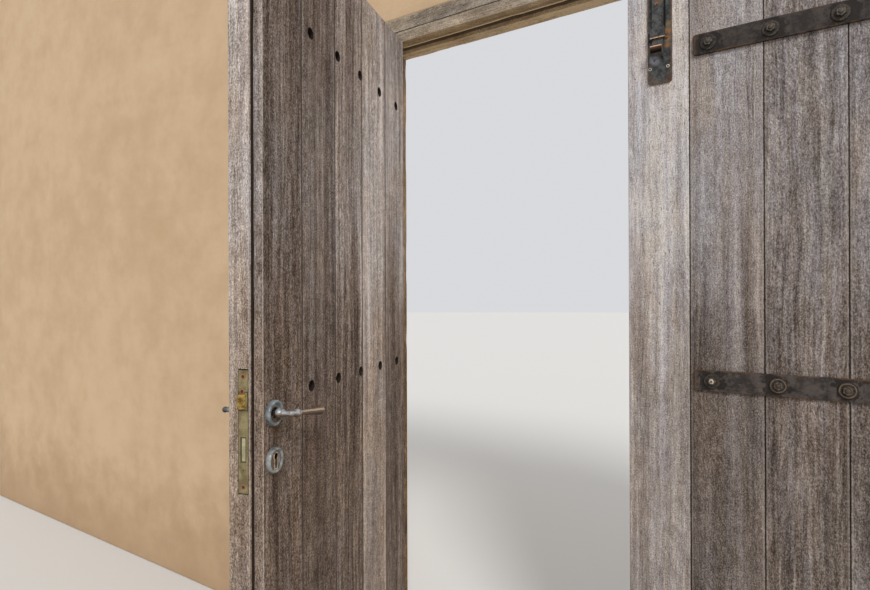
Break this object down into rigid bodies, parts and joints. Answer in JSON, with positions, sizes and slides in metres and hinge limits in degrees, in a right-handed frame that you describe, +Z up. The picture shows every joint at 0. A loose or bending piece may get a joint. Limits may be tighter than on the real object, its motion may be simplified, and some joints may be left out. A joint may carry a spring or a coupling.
{
  "type": "double-leaf boarded garden gate in a wall",
  "caption": "Weathered boarded timber gate with strap hinges, mortice lock and slide bolt, in a rebated frame set in a rendered garden wall with a stone coping.",
  "frame": {"origin": "on the ground in the middle of the gateway, in the plane of the frame's front face", "axes": "+X to the right along the wall seen from the side the leaves open to, +Y through the gateway, +Z up"},
  "size_m": [5.828, 1.0123, 3.055],
  "materials": {
    "ochre_render": "matt floated lime render",
    "coping_stone": "rough weathered stone",
    "frame_timber": "weathered, bare",
    "leaf_timber": "silver-grey weathered, bare",
    "wrought_iron": "blackened, rusting at the edges",
    "tarnished_brass": "tarnished",
    "grey_metal": "dull, oxidised",
    "worn_bronze": "worn bright on the handle"
  },
  "bodies": {
    "root": {"wall_left": "ochre_render", "wall_right": "ochre_render", "wall_over_gate": "ochre_render", "coping": "coping_stone", "left_outer_post": "frame_timber", "right_outer_post": "frame_timber", "outer_head": "frame_timber", "left_rebated_post": "frame_timber", "right_rebated_post": "frame_timber", "rebated_head": "frame_timber", "left_pintle_bottom": "wrought_iron", "left_pintle_middle": "wrought_iron", "left_pintle_top": "wrought_iron", "right_pintle_bottom": "wrought_iron", "right_pintle_middle": "wrought_iron", "right_pintle_top": "wrought_iron", "slide_bolt_keeper": "wrought_iron"},
    "left_leaf": {"left_leaf_front_boards": "leaf_timber", "left_leaf_back_boards": "leaf_timber", "left_strap_bottom": "wrought_iron", "left_strap_middle": "wrought_iron", "left_strap_top": "wrought_iron", "left_leaf_bolts": "wrought_iron", "lock_case": "tarnished_brass", "front_rose": "grey_metal", "back_rose": "grey_metal", "front_keyhole_plate": "grey_metal", "back_keyhole_plate": "grey_metal"},
    "right_leaf": {"right_leaf_front_boards": "leaf_timber", "right_leaf_back_boards": "leaf_timber", "right_strap_bottom": "wrought_iron", "right_strap_middle": "wrought_iron", "right_strap_top": "wrought_iron", "right_leaf_bolts": "wrought_iron", "lock_keep": "tarnished_brass", "slide_bolt_plate": "wrought_iron"},
    "lever": {"spindle": "wrought_iron", "front_handle": "worn_bronze", "back_handle": "worn_bronze"},
    "latch": {"latch_bolt": "tarnished_brass"},
    "locking_bolt": {"dead_bolt": "tarnished_brass"},
    "slide_bolt": {"slide_bolt_bar": "wrought_iron"}
  },
  "joints": [
    {"name": "left_leaf_hinge", "type": "hinge", "parent": "root", "child": "left_leaf", "pos_m": [-0.749, -0.037, 0.988], "axis": [0, 0, -1], "range_deg": [-74.18, 35.82]},
    {"name": "right_leaf_hinge", "type": "hinge", "parent": "root", "child": "right_leaf", "pos_m": [0.749, -0.037, 0.988], "axis": [0, 0, 1], "range_deg": [0, 110]},
    {"name": "lever_turn", "type": "hinge", "parent": "left_leaf", "child": "lever", "pos_m": [-0.52012, -0.70906, 0.9585], "axis": [-0.9621, -0.2726, 0], "range_deg": [0, 40], "stiffness_Nm_per_rad": 0.6, "springref_deg": -34.38},
    {"name": "latch_slide", "type": "slide", "parent": "left_leaf", "child": "latch", "axis": [-0.2726, 0.9621, 0], "range_m": [0, 0.0105]},
    {"name": "locking_bolt_slide", "type": "slide", "parent": "left_leaf", "child": "locking_bolt", "axis": [0.2726, -0.9621, 0], "range_m": [0, 0.02]},
    {"name": "slide_bolt_slide", "type": "slide", "parent": "right_leaf", "child": "slide_bolt", "axis": [0, 0, 1], "range_m": [-0.04, 0.015]}
  ],
  "couplings": [
    {"joint": "latch_slide", "follows": "lever_turn", "m_per_rad": 0.015}
  ]
}
